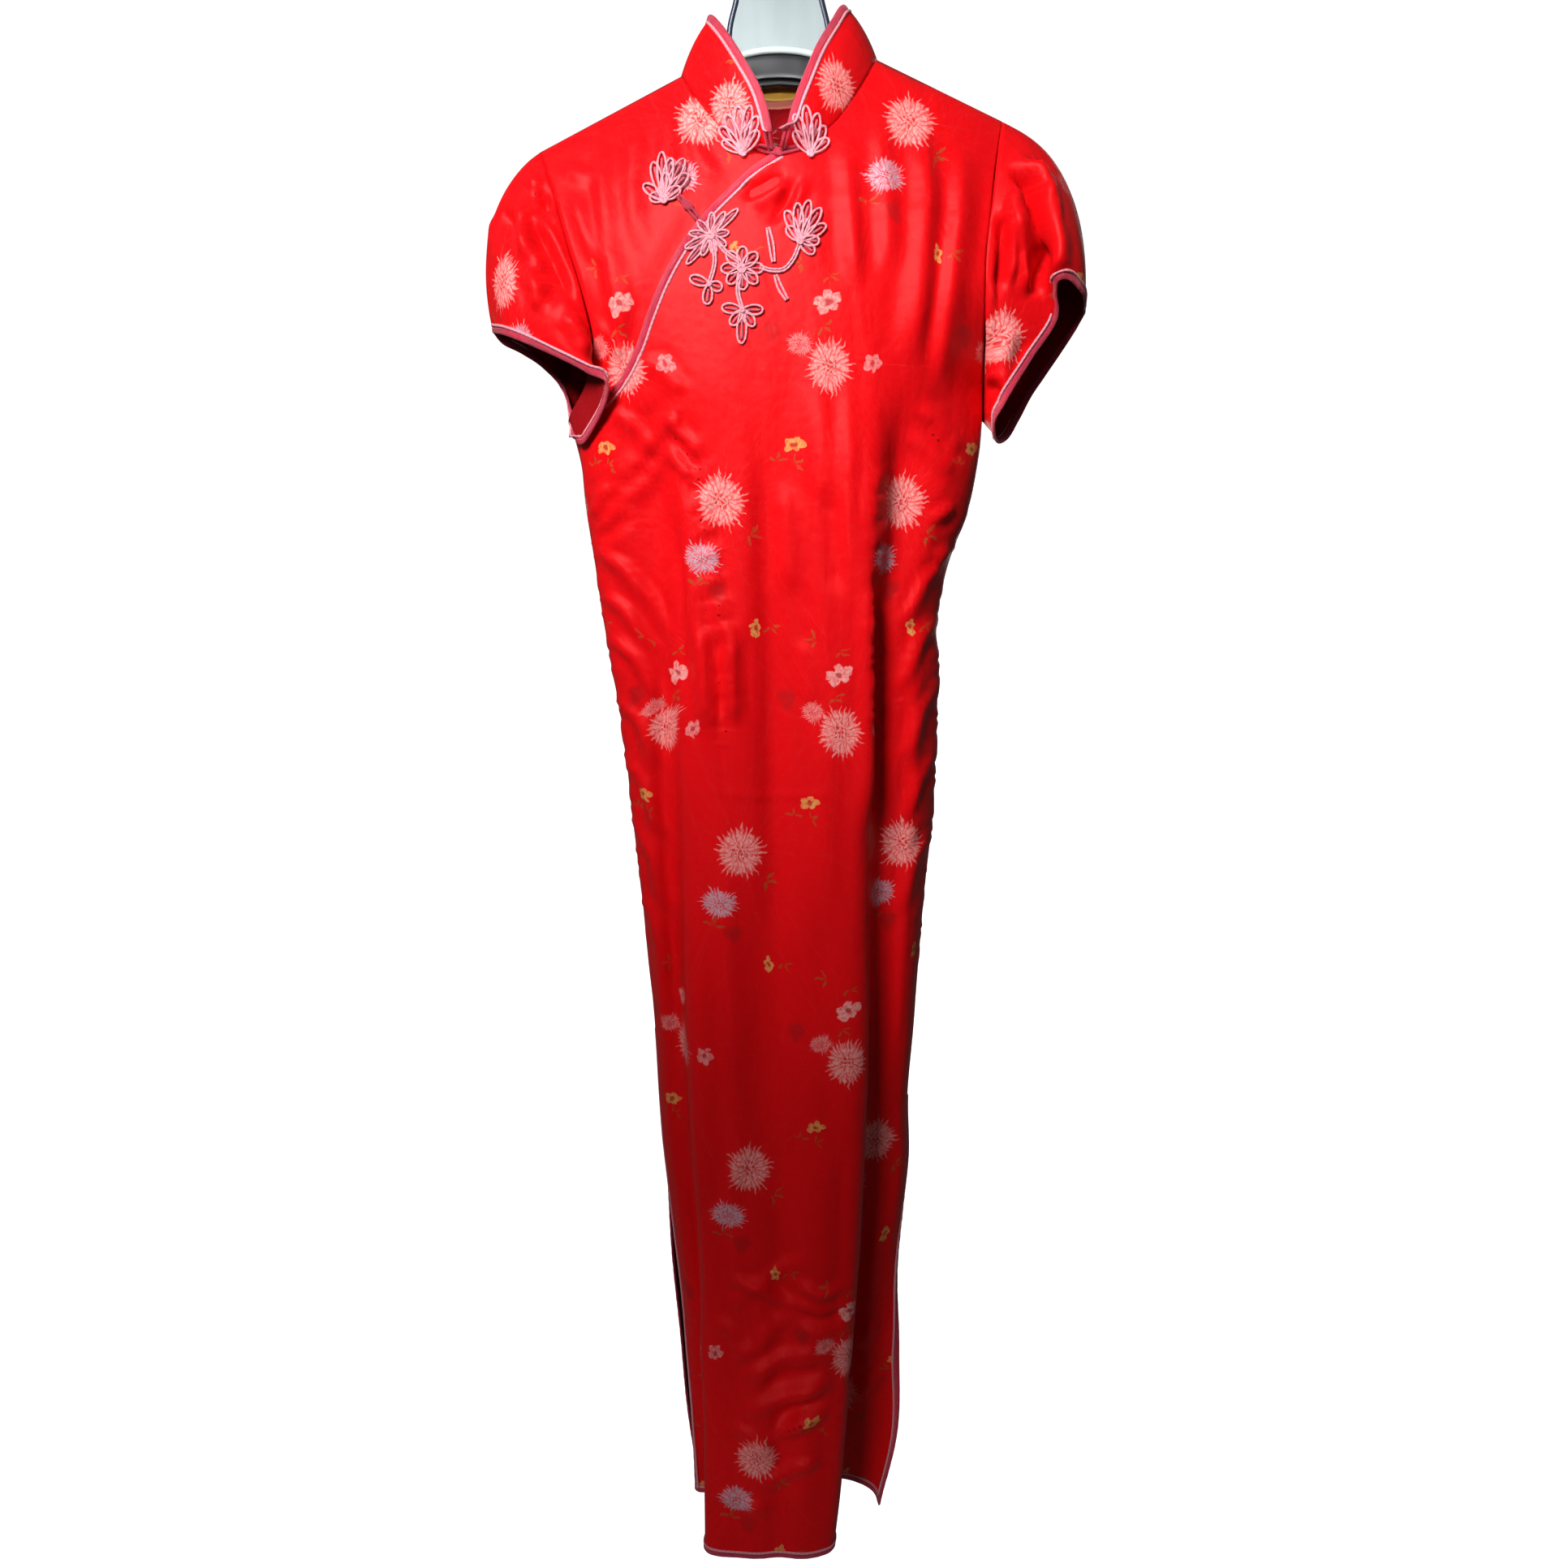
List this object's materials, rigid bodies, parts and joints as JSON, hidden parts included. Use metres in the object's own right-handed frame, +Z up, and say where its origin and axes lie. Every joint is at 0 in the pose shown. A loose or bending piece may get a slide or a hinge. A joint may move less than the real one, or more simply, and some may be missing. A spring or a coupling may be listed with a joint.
{
  "type": "cheongsam dress on a hanger",
  "caption": "Full-length silk brocade cheongsam with short sleeves, a lapped front and an open stand collar, hanging on a plastic hanger.",
  "frame": {"origin": "inside top of the hanger's hook, where a rail carries it", "axes": "+Z up, the dress's front faces -Y, +X towards the wearer's left side"},
  "size_m": [0.5011, 0.158, 1.4661],
  "materials": {
    "red_brocade": "silk brocade with a satin ground, woven with sprays of flowers",
    "pink_satin": "folded satin binding",
    "pale_pink_cord": "satin-covered cord",
    "gold_label": "woven label, bare",
    "black_plastic": "moulded",
    "grey_plastic": "moulded",
    "steel_wire": "bright wire"
  },
  "bodies": {
    "root": {"front_panel": "red_brocade", "under_front": "red_brocade", "back_panel": "red_brocade", "sleeve_left": "red_brocade", "sleeve_right": "red_brocade", "collar": "red_brocade", "collar_binding": "pink_satin", "collar_piping": "pale_pink_cord", "lap_binding": "pink_satin", "lap_piping": "pale_pink_cord", "front_binding": "pink_satin", "front_piping": "pale_pink_cord", "back_binding": "pink_satin", "back_piping": "pale_pink_cord", "cuff_binding_left": "pink_satin", "cuff_binding_right": "pink_satin", "cuff_piping_left": "pale_pink_cord", "cuff_piping_right": "pale_pink_cord", "collar_loop": "pink_satin", "frog_collar_left": "pale_pink_cord", "frog_collar_right": "pale_pink_cord", "frog_shoulder": "pale_pink_cord", "frog_knot": "pale_pink_cord", "frog_spider": "pale_pink_cord", "frog_blossom": "pale_pink_cord", "frog_bud": "pale_pink_cord", "frog_leaf_spray": "pale_pink_cord", "frog_lotus": "pale_pink_cord", "frog_stem": "pale_pink_cord", "frog_twig": "pale_pink_cord", "frog_twig_foot": "pale_pink_cord", "neck_label": "gold_label", "hanger_arms": "black_plastic", "hanger_plate": "grey_plastic", "hanger_hook": "steel_wire"}
  },
  "joints": []
}
